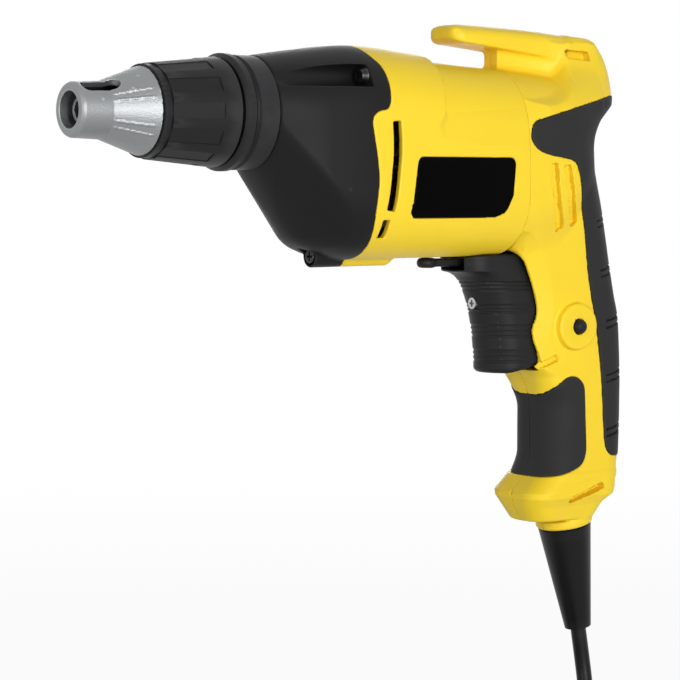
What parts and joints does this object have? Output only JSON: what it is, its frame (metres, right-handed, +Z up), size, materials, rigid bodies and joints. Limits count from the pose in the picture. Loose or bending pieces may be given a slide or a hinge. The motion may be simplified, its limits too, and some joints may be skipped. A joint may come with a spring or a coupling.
{
  "type": "drywall screwdriver",
  "caption": "Corded drywall screwdriver with pistol handle, belt hook, trigger, reversing lever and a nosepiece whose collar sets the driving depth.",
  "frame": {"origin": "middle of the hand grip, in the handle's middle plane", "axes": "+X forward along the spindle to the nose, +Y to the tool's left, +Z up towards the barrel"},
  "size_m": [0.2745, 0.1076, 0.3155],
  "materials": {
    "yellow_plastic": "satin moulded plastic",
    "black_plastic": "fine-grained moulded plastic",
    "dark_plastic": "moulded plastic",
    "black_rubber": "matt overmoulded rubber",
    "label_black": "smooth bare plate",
    "cast_metal": "fine cast and brushed",
    "steel": "zinc-plated or ground",
    "bearing_steel": "polished",
    "core_steel": "stacked sheet",
    "copper": "enamelled or turned copper",
    "brass": "plain",
    "bronze": "sintered, oiled",
    "carbon": "pressed carbon",
    "magnet": "nickel-plated"
  },
  "bodies": {
    "housing": {"adapter_oring": "black_rubber", "gear_case": "black_plastic", "field_case": "yellow_plastic", "handle_left": "yellow_plastic", "handle_right": "yellow_plastic", "rear_grip_left": "black_rubber", "rear_grip_right": "black_rubber", "front_grip_left": "black_rubber", "front_grip_right": "black_rubber", "label_plate": "label_black", "gear_case_screws": "steel", "handle_screws": "steel", "bearing_plate": "cast_metal", "front_bearing_outer": "bearing_steel", "rear_bearing_outer": "bearing_steel", "bearing_balls": "bearing_steel", "stator_core": "core_steel", "field_coils": "copper", "brush_holders": "brass", "carbon_brushes": "carbon", "brush_springs": "steel", "gear_bush": "bronze", "spindle_bush": "bronze", "switch_module": "dark_plastic", "cord_guard": "black_rubber", "cord_clamp": "dark_plastic", "clamp_screws": "steel", "power_cord": "black_rubber", "cord_coil": "black_rubber", "cord_tie": "dark_plastic", "plug_body": "black_rubber", "plug_pins": "brass"},
    "nosepiece": {"nose_adapter": "black_plastic"},
    "collar": {"depth_collar": "black_plastic"},
    "nose": {"nose_cone": "cast_metal"},
    "armature": {"armature_shaft": "steel", "armature_core": "core_steel", "armature_windings": "copper", "commutator": "copper", "cooling_fan": "dark_plastic", "front_bearing_inner": "bearing_steel", "rear_bearing_inner": "bearing_steel"},
    "gear": {"drive_gear": "steel", "clutch_spring": "steel"},
    "clutch": {"thrust_washer": "steel"},
    "spindle_body": {"spindle": "steel", "bit_holder": "steel", "bit_magnet": "magnet"},
    "trigger_body": {"trigger": "dark_plastic", "switch_plunger": "dark_plastic"},
    "speed_setting": {"speed_screw": "steel"},
    "lever": {"reverse_lever": "dark_plastic"},
    "lock": {"lock_button": "dark_plastic"}
  },
  "joints": [
    {"name": "nosepiece_pull", "type": "slide", "parent": "housing", "child": "nosepiece", "axis": [1, 0, 0], "range_m": [0, 0.05]},
    {"name": "depth_collar_turn", "type": "hinge", "parent": "nosepiece", "child": "collar", "pos_m": [0.2, 0, 0.1175], "axis": [1, 0, 0], "range_deg": [0, 720]},
    {"name": "nose_cone_feed", "type": "slide", "parent": "nosepiece", "child": "nose", "axis": [1, 0, 0], "range_m": [0, 0.004]},
    {"name": "armature_spin", "type": "hinge", "parent": "housing", "child": "armature", "pos_m": [0.08, 0, 0.09875], "axis": [1, 0, 0], "continuous": true},
    {"name": "drive_gear_spin", "type": "hinge", "parent": "housing", "child": "gear", "pos_m": [0.143, 0, 0.1175], "axis": [1, 0, 0], "continuous": true},
    {"name": "clutch_press", "type": "slide", "parent": "housing", "child": "clutch", "axis": [-1, 0, 0], "range_m": [0, 0.005], "stiffness_N_per_m": 1500, "deforming": ["clutch_spring"]},
    {"name": "spindle_spin", "type": "hinge", "parent": "clutch", "child": "spindle_body", "pos_m": [0.18, 0, 0.1175], "axis": [1, 0, 0], "continuous": true},
    {"name": "trigger_pull", "type": "slide", "parent": "housing", "child": "trigger_body", "axis": [-1, 0, 0], "range_m": [0, 0.0065], "stiffness_N_per_m": 900},
    {"name": "speed_screw_turn", "type": "hinge", "parent": "trigger_body", "child": "speed_setting", "pos_m": [0.05, 0, 0.039], "axis": [1, 0, 0], "range_deg": [0, 270]},
    {"name": "reverse_lever_swing", "type": "hinge", "parent": "housing", "child": "lever", "pos_m": [0.044, 0, 0.056], "axis": [0, 0, 1], "range_deg": [-8, 8]},
    {"name": "lock_button_press", "type": "slide", "parent": "housing", "child": "lock", "axis": [0, -1, 0], "range_m": [0, 0.0025], "stiffness_N_per_m": 600}
  ],
  "couplings": [
    {"joint": "drive_gear_spin", "follows": "armature_spin", "ratio": -0.19048},
    {"joint": "spindle_spin", "follows": "armature_spin", "ratio": -0.19048},
    {"joint": "nose_cone_feed", "follows": "depth_collar_turn", "m_per_rad": 0.00031831}
  ]
}
